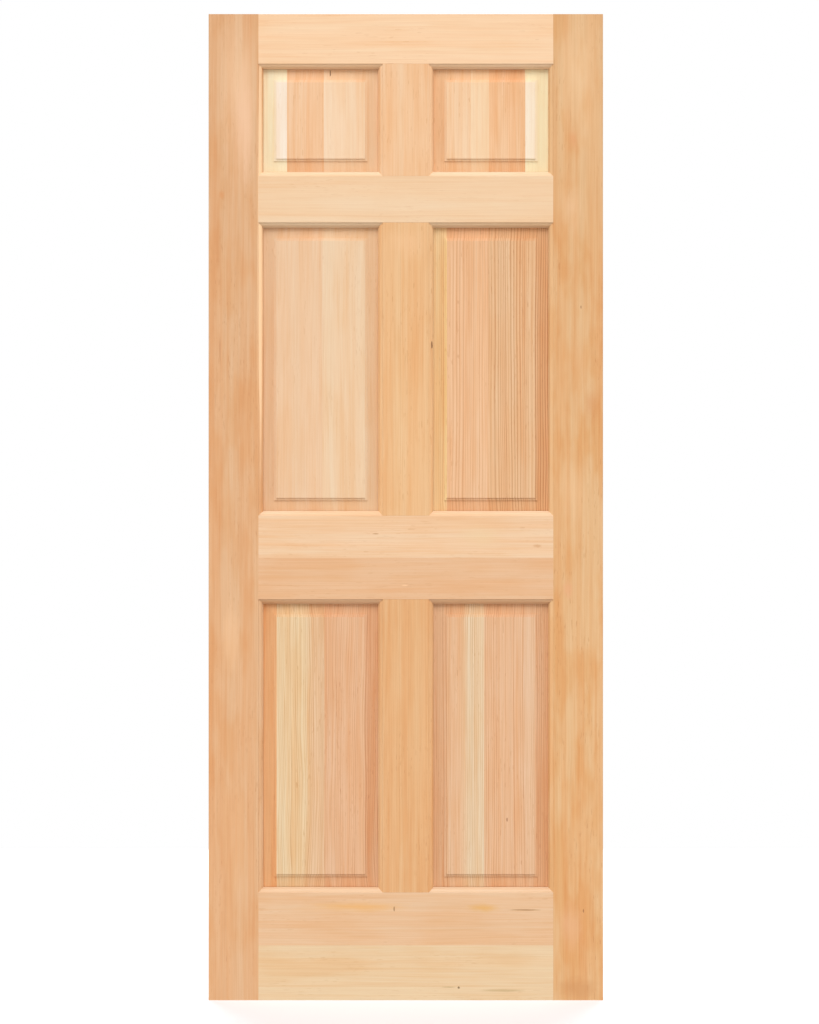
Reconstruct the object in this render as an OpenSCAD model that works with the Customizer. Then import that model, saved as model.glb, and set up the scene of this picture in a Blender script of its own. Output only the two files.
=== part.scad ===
// Six-panel front door: a bare slab of unfinished vertical-grain fir.
//
// Two full-height stiles carry four rails, and three mullions stand between the
// rails. Every inner edge is worked with one moulding and one panel groove. What
// butts into such an edge is coped over its moulding, and a stub tenon on its end
// fills the groove. Hidden dowels pin each joint. The raised panels are glued up
// from upright staves and float in the grooves without glue.
//
// Millimetres, +Z up, X across the door, -Y towards the front.
// The origin is under the middle of the bottom edge.

/* [Door] */
// Width of the door
door_w = 812.8; // [680:0.1:980]
// Height of the door
door_h = 2032; // [1690:1:2450]
// Thickness of the stiles and rails
door_t = 44.45; // [42:0.05:58]
// Easing on the long arrises of the stiles' outer edges
arris = 1; // [0.2:0.1:3]

/* [Stiles and mullions] */
// Flat face of each stile
stile_face = 102.6; // [84:0.1:130]
// Flat face of each mullion
mullion_face = 95; // [78:0.5:120]

/* [Rails and openings, from the top down] */
// Flat face of the top rail
top_rail_face = 102.5; // [84:0.5:130]
// Top openings, from flat face to flat face
top_opening_h = 231; // [180:1:290]
// Flat face of the frieze rail
frieze_rail_face = 96; // [92:0.5:130]
// Flat face of the lock rail's upper board
lock_upper_face = 86.5; // [70:0.5:110]
// Flat face of the lock rail's lower board
lock_lower_face = 86; // [70:0.5:110]
// Low openings, from flat face to flat face
low_opening_h = 604; // [480:1:730]
// Flat face of the bottom rail's upper board
bottom_upper_face = 109; // [84:0.5:135]
// Flat face of the bottom rail's lower board
bottom_lower_face = 113; // [84:0.5:140]

/* [Moulding on the inner edges] */
// Width of the moulding, from the flat face to the edge of the opening
mould_w = 9.5; // [7.5:0.1:12]
// Depth of the square step between the flat face and the quarter round
mould_step = 2.3; // [0.5:0.1:2.5]
// Ledge between the quarter round and the edge of the opening
mould_ledge = 1.5; // [0.5:0.1:3]
// Depth of the panel groove, from the edge of the opening
groove_d = 12.7; // [10:0.1:16]
// Width of the panel groove
groove_t = 12.7; // [10:0.1:15]

/* [Raised panels] */
// Thickness of the panels at the raised field
panel_t = 28.6; // [26:0.1:40]
// Clearance between each cheek of the panel's tongue and the groove
tongue_fit = 0.1; // [0.05:0.05:0.3]
// Room for the panel to swell, at each side and above it
swell_gap = 2.5; // [1:0.1:4]
// Width of the sloping bevel
bevel_w = 22; // [16:0.5:28]
// Width of the narrow band between the two steps around the field
hip_w = 5; // [3:0.5:8]
// Rise of the step between the bevel and the band
low_step = 1.6; // [0.5:0.1:2]
// Rise of the band from step to step
hip_rise = 0.9; // [0.2:0.1:1.5]
// Rise of the step between the band and the field
high_step = 1.9; // [0.5:0.1:2.5]

/* [Dowels] */
// Diameter of the dowels between rails and stiles
rail_dowel_d = 15.9; // [12:0.1:19]
// Length of the dowels between rails and stiles
rail_dowel_l = 127; // [90:1:140]
// From the flat edges of a rail's board to its nearest dowel
rail_dowel_inset = 27; // [18:0.5:34]
// Diameter of the dowels between mullions and rails
mullion_dowel_d = 9.5; // [8:0.1:12]
// Length of the dowels between mullions and rails
mullion_dowel_l = 76; // [50:1:84]
// From the flat edges of a mullion to its nearest dowel
mullion_dowel_inset = 20; // [15:0.5:30]
// Bevel on the ends of the dowels
dowel_bevel = 1.5; // [0.5:0.1:2]
// Room around a dowel in its bore
dowel_fit = 0.1; // [0.05:0.05:0.2]
// Room for glue past each end of a dowel
dowel_room = 2.5; // [1:0.1:5]
// Room past the end of a stub tenon in its groove
tenon_room = 0.5; // [0.3:0.1:1.5]

/* [Hidden] */
// Cutters run past the faces they cut by this much.
over = 1;
$fn = 96;

// What takes the rest of the width and of the height
opening_w = (door_w - 2 * stile_face - mullion_face) / 2;
tall_opening_h = door_h - top_rail_face - top_opening_h - frieze_rail_face
    - lock_upper_face - lock_lower_face - low_opening_h
    - bottom_upper_face - bottom_lower_face;

// Heights of the flat faces' edges, from the bottom up
bottom_seam_z = bottom_lower_face;
bottom_rail_top = bottom_seam_z + bottom_upper_face;
lock_rail_bottom = bottom_rail_top + low_opening_h;
lock_seam_z = lock_rail_bottom + lock_lower_face;
lock_rail_top = lock_seam_z + lock_upper_face;
frieze_rail_bottom = lock_rail_top + tall_opening_h;
frieze_rail_top = frieze_rail_bottom + frieze_rail_face;
top_rail_bottom = frieze_rail_top + top_opening_h;

// Edges of the flat faces beside the left column of openings
stile_edge_x = -door_w / 2 + stile_face;
mullion_edge_x = -mullion_face / 2;

// The quarter round takes what the ledge leaves of the moulding's width.
round_r = mould_w - mould_ledge;

// A groove's floor lies this far behind the flat face's edge.
floor_back = groove_d - mould_w;

// Half thickness of the panel at the foot and the top of the bevel, and at the band's top
tongue_half = groove_t / 2 - tongue_fit;
band_top_half = panel_t / 2 - high_step;
bevel_top_half = band_top_half - hip_rise - low_step;

// Heights of the openings: [lower edge, upper edge] of the flat faces
TOP_ROW = [frieze_rail_top, top_rail_bottom];
TALL_ROW = [lock_rail_top, frieze_rail_bottom];
LOW_ROW = [bottom_rail_top, lock_rail_bottom];
LEFT = -1;
RIGHT = 1;

// The panels: [name, side, row, glue lines], seen from the front. The staves are
// random widths, so each glue line is a share of its panel's width, from the left.
PANELS = [
    ["panel_top_left", LEFT, TOP_ROW, [0.23, 0.525, 0.7]],
    ["panel_top_right", RIGHT, TOP_ROW, [0.34, 0.485, 0.775]],
    ["panel_tall_left", LEFT, TALL_ROW, [0.515]],
    ["panel_tall_right", RIGHT, TALL_ROW, [0.147, 0.48]],
    ["panel_low_left", LEFT, LOW_ROW, [0.147, 0.53]],
    ["panel_low_right", RIGHT, LOW_ROW, [0.445]]
];

// The dowelled joints at the rails' ends: [name, heights of its boards' flat faces]
RAIL_JOINTS = [
    ["top_rail_dowels", [[top_rail_bottom, door_h]]],
    ["frieze_rail_dowels", [[frieze_rail_bottom, frieze_rail_top]]],
    ["lock_rail_dowels", [[lock_rail_bottom, lock_seam_z], [lock_seam_z, lock_rail_top]]],
    ["bottom_rail_dowels", [[0, bottom_seam_z], [bottom_seam_z, bottom_rail_top]]]
];

// Every height at which a rail's dowel lies
rail_dowel_zs = [
    for (joint = RAIL_JOINTS, board = joint[1], z = board_dowel_zs(board)) z
];

// Every height at which a mullion meets a rail's flat face
mullion_end_zs = [for (row = [TOP_ROW, TALL_ROW, LOW_ROW], z = row) z];

// Glue lines lie on whole tenths, so that neighbours share one plane exactly.
function to_tenth(x) = round(x * 10) / 10;

function stave_name(panel, i) = str(panel[0], "_stave_", i + 1);

// A board has two dowels, at one inset from its flat edges.
function board_dowel_zs(board) = [board[0] + rail_dowel_inset, board[1] - rail_dowel_inset];

// Turns a section drawn as [height, depth] and pulls it along X, centred.
module along_x(length) {
    rotate([0, -90, 0])
        linear_extrude(height = length, center = true)
            children();
}

// Both faces alike
module both_faces() {
    children();
    mirror([0, 1, 0]) children();
}

// What the cutter takes off an inner edge. The flat face ends at x = 0, and the
// opening lies towards +x.
module inner_edge_cut() {
    both_faces()
        translate([0, -door_t / 2])
            difference() {
                translate([0, -over])
                    square([mould_w + over, over + mould_step + round_r]);
                translate([0, mould_step + round_r])
                    circle(r = round_r);
            }
    translate([-floor_back, -groove_t / 2])
        square([groove_d + over, groove_t]);
}

// Section of a member whose flat face runs from low to high along x. It has a
// moulded edge where low_open or high_open says that an opening lies there.
module member_section(low, high, low_open, high_open) {
    first = low_open ? low - mould_w : low;
    last = high_open ? high + mould_w : high;
    difference() {
        translate([first, -door_t / 2])
            square([last - first, door_t]);
        if (high_open)
            translate([high, 0]) inner_edge_cut();
        if (low_open)
            translate([low, 0]) mirror([1, 0]) inner_edge_cut();
    }
}

// Section of the left stile, with its outer arrises eased
module stile_section() {
    eased = arris * sqrt(2);
    difference() {
        member_section(-door_w / 2, stile_edge_x, false, true);
        both_faces()
            translate([-door_w / 2, -door_t / 2])
                rotate(45)
                    square(eased, center = true);
    }
}

// A full-height solid of the left stile's section, which the rails are coped to
module stile_blank() {
    linear_extrude(height = door_h)
        stile_section();
}

// Bores for the dowels between the left stile and the rails
module rail_dowel_bores() {
    for (z = rail_dowel_zs)
        translate([stile_edge_x, 0, z])
            rotate([0, 90, 0])
                cylinder(d = rail_dowel_d + 2 * dowel_fit,
                         h = rail_dowel_l + 2 * dowel_room, center = true);
}

// Bores for the dowels between the mullions and the rails
module mullion_dowel_bores() {
    for (z = mullion_end_zs, side = [LEFT, RIGHT])
        translate([side * (mullion_face / 2 - mullion_dowel_inset), 0, z])
            cylinder(d = mullion_dowel_d + 2 * dowel_fit,
                     h = mullion_dowel_l + 2 * dowel_room, center = true);
}

module stile(side) {
    mirror([side == RIGHT ? 1 : 0, 0, 0])
        difference() {
            stile_blank();
            rail_dowel_bores();
        }
}

// A rail's board between the stiles, coped and tenoned to them
module rail_board(low, high, low_open, high_open) {
    half_length = -(stile_edge_x - floor_back + tenon_room);
    difference() {
        along_x(2 * half_length)
            member_section(low, high, low_open, high_open);
        for (turn = [0, 1])
            mirror([turn, 0, 0]) {
                stile_blank();
                rail_dowel_bores();
            }
        mullion_dowel_bores();
    }
}

// A mullion in one row of openings, coped and tenoned to the rails above and below
module mullion(row) {
    low_end = row[0] - floor_back + tenon_room;
    high_end = row[1] + floor_back - tenon_room;
    difference() {
        translate([0, 0, low_end])
            linear_extrude(height = high_end - low_end)
                member_section(mullion_edge_x, -mullion_edge_x, true, true);
        along_x(mullion_face + 4 * mould_w) {
            member_section(row[0] - 2 * mould_w, row[0], false, true);
            member_section(row[1], row[1] + 2 * mould_w, true, false);
        }
        mullion_dowel_bores();
    }
}

// One edge of a raised panel, from its tongue to its field: [distance from the
// edge of the opening, half thickness]
panel_edge = [
    [0, tongue_half],
    [bevel_w, bevel_top_half],
    [bevel_w, bevel_top_half + low_step],
    [bevel_w + hip_w, band_top_half],
    [bevel_w + hip_w, panel_t / 2]
];

// Section of a raised panel between the opening's edges low and high. Its tongues
// reach past them by low_tongue and high_tongue.
module panel_section(low, high, low_tongue, high_tongue) {
    front = concat(
        [[low - low_tongue, -tongue_half]],
        [for (p = panel_edge) [low + p[0], -p[1]]],
        [for (i = [len(panel_edge) - 1 : -1 : 0]) [high - panel_edge[i][0], -panel_edge[i][1]]],
        [[high + high_tongue, -tongue_half]]
    );
    back = [for (i = [len(front) - 1 : -1 : 0]) [front[i][0], -front[i][1]]];
    polygon(concat(front, back));
}

// One stave of a panel: what the panel's upright and level sections share between
// two glue lines. Every panel rests on its groove's floor, below the opening.
module stave(panel, i) {
    half_sight = opening_w / 2 - mould_w;
    middle_x = panel[1] * (mullion_face + opening_w) / 2;
    side_tongue = groove_d - swell_gap;
    low_x = middle_x - half_sight;
    high_x = middle_x + half_sight;
    panel_w = high_x - low_x + 2 * side_tongue;
    // The outer cuts run past the panel's edges, so that its tongues end the staves.
    cuts = concat([-over], [for (share = panel[3]) to_tenth(share * panel_w)], [panel_w + over]);
    from_x = to_tenth(low_x - side_tongue) + cuts[i];
    stave_w = cuts[i + 1] - cuts[i];
    low_z = panel[2][0] + mould_w;
    high_z = panel[2][1] - mould_w;
    intersection() {
        translate([0, 0, low_z - groove_d])
            linear_extrude(height = high_z - low_z + 2 * groove_d)
                panel_section(low_x, high_x, side_tongue, side_tongue);
        translate([from_x + stave_w / 2, 0, 0])
            along_x(stave_w)
                panel_section(low_z, high_z, groove_d, groove_d - swell_gap);
    }
}

// A dowel along Z, centred, with bevelled ends
module dowel(d, l) {
    rotate_extrude()
        polygon([
            [0, -l / 2],
            [d / 2 - dowel_bevel, -l / 2],
            [d / 2, -l / 2 + dowel_bevel],
            [d / 2, l / 2 - dowel_bevel],
            [d / 2 - dowel_bevel, l / 2],
            [0, l / 2]
        ]);
}

module stile_left() {
    color("#e7b283") stile(LEFT);
}

module stile_right() {
    color("#ebb983") stile(RIGHT);
}

module top_rail() {
    color("#fbd2a8") rail_board(top_rail_bottom, door_h, true, false);
}

module frieze_rail() {
    color("#f5d1aa") rail_board(frieze_rail_bottom, frieze_rail_top, true, true);
}

module lock_rail_upper_board() {
    color("#f5cda5") rail_board(lock_seam_z, lock_rail_top, false, true);
}

module lock_rail_lower_board() {
    color("#edbe93") rail_board(lock_rail_bottom, lock_seam_z, true, false);
}

module bottom_rail_upper_board() {
    color("#edc198") rail_board(bottom_seam_z, bottom_rail_top, false, true);
}

module bottom_rail_lower_board() {
    color("#efcca3") rail_board(0, bottom_seam_z, false, false);
}

module mullion_top() {
    color("#f5c69a") mullion(TOP_ROW);
}

module mullion_middle() {
    color("#efbe8b") mullion(TALL_ROW);
}

module mullion_bottom() {
    color("#e9b480") mullion(LOW_ROW);
}

module panel_stave(panel, i) {
    color(i % 2 == 0 ? "#fce8d1" : "#f3c093") stave(panel, i);
}

// The dowels of one rail, at both its ends
module rail_dowels(boards) {
    color("#d9b88a")
        for (board = boards, z = board_dowel_zs(board), side = [LEFT, RIGHT])
            translate([-side * stile_edge_x, 0, z])
                rotate([0, 90, 0])
                    dowel(rail_dowel_d, rail_dowel_l);
}

// The dowels at both ends of the mullions
module mullion_dowels() {
    color("#d9b88a")
        for (z = mullion_end_zs, side = [LEFT, RIGHT])
            translate([side * (mullion_face / 2 - mullion_dowel_inset), 0, z])
                dowel(mullion_dowel_d, mullion_dowel_l);
}

stile_left();
stile_right();
top_rail();
frieze_rail();
lock_rail_upper_board();
lock_rail_lower_board();
bottom_rail_upper_board();
bottom_rail_lower_board();
mullion_top();
mullion_middle();
mullion_bottom();
for (panel = PANELS, i = [0 : len(panel[3])])
    panel_stave(panel, i);
for (joint = RAIL_JOINTS)
    rail_dowels(joint[1]);
mullion_dowels();
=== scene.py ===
# %% [markdown]
# # A panelled front door in bare fir
#
# The real object is a stile-and-rail door: upright stiles, level rails and short
# mullions make a frame, and six raised panels are held in its grooves. It is
# unfinished Douglas fir, planed and sanded, so its whole look comes from wood:
# each board and each stave has its own colour, its own growth rings and its own
# blemishes. The exact construction is loaded as a fixed frame, and this lesson
# builds finer meshes and the wood around it.

import math
from functools import partial

import bmesh
import bpy
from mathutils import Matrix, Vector


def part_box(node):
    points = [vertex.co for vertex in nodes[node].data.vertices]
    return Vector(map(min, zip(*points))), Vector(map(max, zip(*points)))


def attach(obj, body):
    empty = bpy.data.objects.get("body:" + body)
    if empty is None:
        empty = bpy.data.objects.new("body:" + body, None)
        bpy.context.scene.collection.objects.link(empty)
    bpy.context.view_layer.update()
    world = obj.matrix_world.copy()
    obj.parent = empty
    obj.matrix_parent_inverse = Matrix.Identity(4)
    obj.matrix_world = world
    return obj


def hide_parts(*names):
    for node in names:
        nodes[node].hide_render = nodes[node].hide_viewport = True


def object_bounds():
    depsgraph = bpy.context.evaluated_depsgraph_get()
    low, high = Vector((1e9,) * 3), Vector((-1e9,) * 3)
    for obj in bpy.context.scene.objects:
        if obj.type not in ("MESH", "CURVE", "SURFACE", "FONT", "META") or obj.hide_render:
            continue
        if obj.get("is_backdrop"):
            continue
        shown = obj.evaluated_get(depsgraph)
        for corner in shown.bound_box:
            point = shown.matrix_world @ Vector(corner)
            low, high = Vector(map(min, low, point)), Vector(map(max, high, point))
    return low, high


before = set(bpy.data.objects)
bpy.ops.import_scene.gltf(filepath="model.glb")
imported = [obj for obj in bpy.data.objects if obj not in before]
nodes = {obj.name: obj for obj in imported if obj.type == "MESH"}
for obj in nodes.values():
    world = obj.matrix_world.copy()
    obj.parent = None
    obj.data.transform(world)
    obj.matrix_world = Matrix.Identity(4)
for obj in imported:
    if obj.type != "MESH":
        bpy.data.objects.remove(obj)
cad_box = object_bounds()
door_low, door_high = cad_box
MM = 0.001
TO_MM = (1000, 1000, 1000)
WELD = 0.001 * MM  # points closer than this are one point
print("door size in mm:", [round(side / MM, 2) for side in door_high - door_low])

# %% [markdown]
# ## Helpers
#
# Colours are chosen as the hex values that a colour picker shows. Blender works
# in linear light, so one function turns them over. A second function adds a node
# with its settings and its links, and serves every tree in this lesson.

# %% Colours from hex


def linear(hex_colour):
    """A linear RGBA colour from an sRGB hex value such as "#e8b384"."""
    channels = [int(hex_colour[i : i + 2], 16) / 255 for i in (1, 3, 5)]
    lit = [c / 12.92 if c <= 0.04045 else ((c + 0.055) / 1.055) ** 2.4 for c in channels]
    return (*lit, 1.0)


print("mid grey in linear light:", round(linear("#808080")[0], 3))

# %% One function that adds a node


def usable(sockets, key):
    """A node's socket by name or number, counting only those that its settings leave on."""
    shown = [socket for socket in sockets if socket.enabled]
    return shown[key] if isinstance(key, int) else next(s for s in shown if s.name == key)


def add(tree, kind, settings=None, inputs=None):
    """Adds a node. An input takes a value, a socket, a node (its first output) or a list."""
    node = tree.nodes.new(kind)
    for name, value in (settings or {}).items():
        setattr(node, name, value)
    for key, given in (inputs or {}).items():
        target = usable(node.inputs, key)
        for value in given if isinstance(given, list) else [given]:
            if isinstance(value, bpy.types.Node):
                value = usable(value.outputs, 0)
            if isinstance(value, bpy.types.NodeSocket):
                tree.links.new(value, target)
            else:
                target.default_value = value
    return node


def new_group(name, kind, inputs, outputs):
    """A node group with sockets from {name: (type, default)}, and its input and output nodes."""
    tree = bpy.data.node_groups.new(name, kind)
    for way, sockets in (("INPUT", inputs), ("OUTPUT", outputs)):
        for label, (socket_type, default) in sockets.items():
            socket = tree.interface.new_socket(label, in_out=way, socket_type=socket_type)
            if default is not None:
                socket.default_value = default
    return tree, tree.nodes.new("NodeGroupInput"), tree.nodes.new("NodeGroupOutput")


FLOAT, VECTOR, COLOUR = "NodeSocketFloat", "NodeSocketVector", "NodeSocketColor"
print("helpers ready")

# %% [markdown]
# ## Camera, floor and light
#
# A door is shown from straight in front, level with its middle, through a long
# lens that keeps its sides upright. It stands on a white floor in a white room.
# One wide softbox hangs high in front, so mouldings that face up catch light and
# those that face down fall into shade. A weaker one comes from just below eye
# level and fills the shade, and two graze the door from the sides, so upright
# mouldings stay bright. One hangs behind for the back face. They could stand near
# the door, but a near light fades from one end of a tall door to the other, so
# they are far away. The floor casts no shadow, or it would stop the low fill.

# %% Camera
LENS = 100  # mm, a portrait lens on a 36 mm sensor
CAMERA_AWAY = 5.861  # from the door's front face, in metres
CAMERA_RIGHT = 0.0076
CAMERA_HEIGHT = 1.006

camera_data = bpy.data.cameras.new("camera")
camera_data.lens = LENS
camera_data.sensor_width = 36
camera = bpy.data.objects.new("camera", camera_data)
camera.location = (CAMERA_RIGHT, door_low.y - CAMERA_AWAY, CAMERA_HEIGHT)
camera.rotation_euler = (math.radians(90), 0, 0)
bpy.context.scene.collection.objects.link(camera)
bpy.context.scene.camera = camera
print("camera at", [round(value, 3) for value in camera.location])

# %% Far softboxes, for an even light from top to bottom


def far_softbox(name, azimuth, elevation, width, strength, colour="#ffffff"):
    """A softbox too far away to fade across the door. Angles are in degrees, azimuth 0 in front."""
    light = bpy.data.lights.new(name, "SUN")
    light.angle = math.radians(width)
    light.color = linear(colour)[:3]
    light.energy = strength
    holder = bpy.data.objects.new(name, light)
    around, up = math.radians(azimuth), math.radians(elevation)
    towards = Vector(
        (math.sin(around) * math.cos(up), -math.cos(around) * math.cos(up), math.sin(up))
    )
    holder.rotation_euler = towards.to_track_quat("Z", "Y").to_euler()
    bpy.context.scene.collection.objects.link(holder)


WARM = "#fff6ec"  # light that has been round the room
far_softbox("key_high_front", 0, 53, 34, 2.5)
far_softbox("fill_low_front", 0, -6, 44, 0.7, WARM)
for side in (-1, 1):
    far_softbox(f"fill_side_{side}", side * 72, 6, 36, 1.0, WARM)
far_softbox("back_high", 180, 45, 40, 2.4)
print("lights:", len(bpy.data.lights))

# %% White room
room = bpy.data.worlds.new("white_room")
room.use_nodes = True
room.node_tree.nodes.clear()
put = partial(add, room.node_tree)
fill = put("ShaderNodeBackground", {}, {"Color": linear("#ffeedd"), "Strength": 0.22})
backdrop = put("ShaderNodeBackground", {}, {"Color": (1, 1, 1, 1), "Strength": 1.0})
seen = put("ShaderNodeLightPath")
blend = put("ShaderNodeMixShader", {}, {0: seen.outputs["Is Camera Ray"], 1: fill, 2: backdrop})
put("ShaderNodeOutputWorld", {}, {"Surface": blend})
bpy.context.scene.world = room
bpy.context.scene.view_settings.view_transform = "Standard"

# %% Floor
FLOOR_HALF = 2.6  # metres
floor_mesh = bpy.data.meshes.new("floor")
corners = [(-1, -1), (1, -1), (1, 1), (-1, 1)]
floor_corners = [(x * FLOOR_HALF, y * FLOOR_HALF, 0) for x, y in corners]
floor_mesh.from_pydata(floor_corners, [], [(0, 1, 2, 3)])
floor = bpy.data.objects.new("floor", floor_mesh)
bpy.context.scene.collection.objects.link(floor)
floor_paint = bpy.data.materials.new("matt_white_floor")
floor_paint.use_nodes = True
floor_tree = floor_paint.node_tree
floor_shader = floor_tree.nodes["Principled BSDF"]
floor_shader.inputs["Roughness"].default_value = 0.9
# It looks white, and sends back less light than a white floor would.
bounce = add(floor_tree, "ShaderNodeLightPath")
tone = add(
    floor_tree, "ShaderNodeMix", {"data_type": "RGBA"},
    {"Factor": bounce.outputs["Is Camera Ray"], "A": linear("#a8a6a3"), "B": linear("#f6f8ff")},
)
floor_tree.links.new(usable(tone.outputs, 0), floor_shader.inputs["Base Color"])
floor_mesh.materials.append(floor_paint)
floor.visible_shadow = False
floor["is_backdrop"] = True
print("floor laid")

# %% [markdown]
# ## Frame members
#
# Stiles, rails and mullions come off a moulder with crisp section, and their ends
# are coped to fit over each other's mouldings. The exact solids already hold the
# sections, copes, tenons and dowel bores, so they could stay as they are. What a
# real door adds is a slight easing: sandpaper takes half a millimetre off each
# long arris, and that thin line catches the light. Each member is therefore
# copied and welded, and its long arrises get a two-step bevel. Glue seams between
# two boards of one rail are sanded flush and stay sharp.

# %% Weld a copy of an exact solid


def welded(node):
    """A bmesh of a CAD node's mesh with its loose triangles merged and its flat faces joined."""
    shape = bmesh.new()
    shape.from_mesh(nodes[node].data)
    bmesh.ops.remove_doubles(shape, verts=shape.verts, dist=WELD)
    flat = math.radians(0.3)
    bmesh.ops.dissolve_limit(shape, angle_limit=flat, verts=shape.verts, edges=shape.edges)
    return shape


def islands(node):
    """The box of each separate solid in a CAD node, as (low, high) corners."""
    shape = welded(node)
    left, found = set(shape.verts), []
    while left:
        edge_of_search, reached = [left.pop()], []
        while edge_of_search:
            vert = edge_of_search.pop()
            reached.append(vert.co.copy())
            near = {edge.other_vert(vert) for edge in vert.link_edges} & left
            left -= near
            edge_of_search += near
        found.append((Vector(map(min, *reached)), Vector(map(max, *reached))))
    shape.free()
    return found


print("top rail dowels:", len(islands("top_rail_dowels")))

# %% Ease the long arrises
EASING = 0.55 * MM
SEAMS = [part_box(board)[0].z for board in ("lock_rail_upper_board", "bottom_rail_upper_board")]
HIDDEN_DEPTH = 7 * MM  # the groove and the tenons lie nearer the middle than this
SHARP_FROM = math.radians(40)
PARALLEL_FROM = 0.999  # cosine of the angle between an edge and the member


def is_long_arris(edge, along):
    """True for an outside corner that runs along the member and that sandpaper can reach."""
    way = (edge.verts[1].co - edge.verts[0].co).normalized()
    if len(edge.link_faces) != 2 or abs(way[along]) < PARALLEL_FROM or not edge.is_convex:
        return False
    where = (edge.verts[0].co + edge.verts[1].co) / 2
    on_seam = any(abs(where.z - seam) < 0.1 * MM for seam in SEAMS)
    sharp = edge.calc_face_angle() > SHARP_FROM
    return sharp and abs(where.y) > HIDDEN_DEPTH and not (on_seam and along == 0)


def finish_piece(name, shape, sharp_degrees=50):
    """Makes an object of a bmesh, with smooth rounds, flat flats and sharp corners."""
    mesh = bpy.data.meshes.new(name)
    shape.to_mesh(mesh)
    shape.free()
    mesh.shade_smooth()
    mesh.set_sharp_from_angle(angle=math.radians(sharp_degrees))
    piece = bpy.data.objects.new(name, mesh)
    bpy.context.scene.collection.objects.link(piece)
    weighted = piece.modifiers.new("flat_faces_stay_flat", "WEIGHTED_NORMAL")
    weighted.keep_sharp = True
    return piece


def stand_in(piece, *cad_nodes):
    """The piece takes the place of CAD nodes: they are hidden, and it hangs from the root body."""
    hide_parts(*cad_nodes)
    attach(piece, "root")
    return piece


UPRIGHTS = ["stile_left", "stile_right", "mullion_top", "mullion_middle", "mullion_bottom"]
RAILS = ["top_rail", "frieze_rail", "lock_rail_upper_board", "lock_rail_lower_board"]
RAILS += ["bottom_rail_upper_board", "bottom_rail_lower_board"]
X_AXIS, Z_AXIS = 0, 2

pieces = {}
for member in UPRIGHTS + RAILS:
    along = Z_AXIS if member in UPRIGHTS else X_AXIS
    shape = welded(member)
    arrises = [edge for edge in shape.edges if is_long_arris(edge, along)]
    bmesh.ops.bevel(
        shape, geom=arrises, offset=EASING, offset_type="OFFSET",
        segments=2, profile=0.5, affect="EDGES", clamp_overlap=True,
    )
    pieces[member] = stand_in(finish_piece(f"{member}_fir", shape), member)
    print(member, "arrises eased:", len(arrises))

# %% [markdown]
# ## Raised panels
#
# A panel is glued up from staves and then raised: one cutter runs round its four
# sides and leaves a tongue, a sloping bevel, two small steps and the flat field.
# Every section parallel to the face is a rectangle, only smaller towards the
# field. So Geometry Nodes stack rectangles, one for each point of the cutter's
# profile, and the profile is the modifier's own mesh. The finished panel is then
# cut at its glue lines, because each stave is a separate piece of wood.

# %% The cutter's profile
BEVEL_WIDTH = 22 * MM
BEVEL_TOP = 9.9 * MM  # half thicknesses, from the panel's middle plane
LOW_STEP_TOP = 11.5 * MM
BAND_WIDTH = 5 * MM
BAND_TOP = 12.4 * MM
TONGUE_HALF = 6.25 * MM
SIDE_TONGUE = 10.2 * MM  # how far the tongue reaches into the groove
LOW_TONGUE = 12.7 * MM  # the panel rests on the floor of the lower groove
ARRIS_RADIUS = 0.25 * MM
TONGUE_ARRIS_RADIUS = 0.8 * MM
ROUND_STEPS = 4
field_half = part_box("panel_tall_left_stave_1")[1].y


def rounded(before, corner, after, radius):
    """The points of an arc that rounds a corner between two straight lines."""
    back, on = (before - corner).normalized(), (after - corner).normalized()
    half_angle = back.angle(on) / 2
    centre = corner + (back + on).normalized() * radius / math.sin(half_angle)
    reach = radius / math.tan(half_angle)
    first = (corner + back * reach - centre).normalized()
    last = (corner + on * reach - centre).normalized()
    turns = [first.slerp(last, step / ROUND_STEPS) for step in range(ROUND_STEPS + 1)]
    return [centre + turn * radius for turn in turns]


def panel_profile():
    """From the front field round the tongue to the back field, as (inset, depth) points."""
    hip = BEVEL_WIDTH + BAND_WIDTH
    outline = [  # inset from the edge of the opening, half thickness, radius
        (hip + 10 * MM, field_half, 0),
        (hip, field_half, ARRIS_RADIUS),
        (hip, BAND_TOP, 0),
        (BEVEL_WIDTH, LOW_STEP_TOP, ARRIS_RADIUS),
        (BEVEL_WIDTH, BEVEL_TOP, 0),
        (0, TONGUE_HALF, 0),
        (-SIDE_TONGUE, TONGUE_HALF, TONGUE_ARRIS_RADIUS),
        (-SIDE_TONGUE, 0, 0),
    ]
    corners = [Vector((inset, -half, 0)) for inset, half, radius in outline]
    half_profile = []
    for i, (inset, half, radius) in enumerate(outline[:-1]):
        if radius:
            half_profile += rounded(corners[i - 1], corners[i], corners[i + 1], radius)
        elif i:
            half_profile.append(corners[i])
    return half_profile + [Vector((p.x, -p.y, 0)) for p in reversed(half_profile)]


profile = panel_profile()
print("points in the panel's profile:", len(profile))

# %% Geometry Nodes: rectangles stacked along the profile
panel_inputs = {
    "Profile": ("NodeSocketGeometry", None),
    "Opening low": (VECTOR, None),
    "Opening high": (VECTOR, None),
    "Extra low tongue": (FLOAT, 0.0),
    "Wood": ("NodeSocketMaterial", None),
}
raised_panel, given, made = new_group(
    "raised panel", "GeometryNodeTree", panel_inputs, {"Panel": ("NodeSocketGeometry", None)}
)
put = partial(add, raised_panel)
COLUMNS = 5  # four corners, and the first one again to close the ring
low = put("ShaderNodeSeparateXYZ", {}, {0: given.outputs["Opening low"]})
high = put("ShaderNodeSeparateXYZ", {}, {0: given.outputs["Opening high"]})
size = put("GeometryNodeAttributeDomainSize", {}, {0: given.outputs["Profile"]})
index = put("GeometryNodeInputIndex")
place_now = put("GeometryNodeInputPosition")


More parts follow.
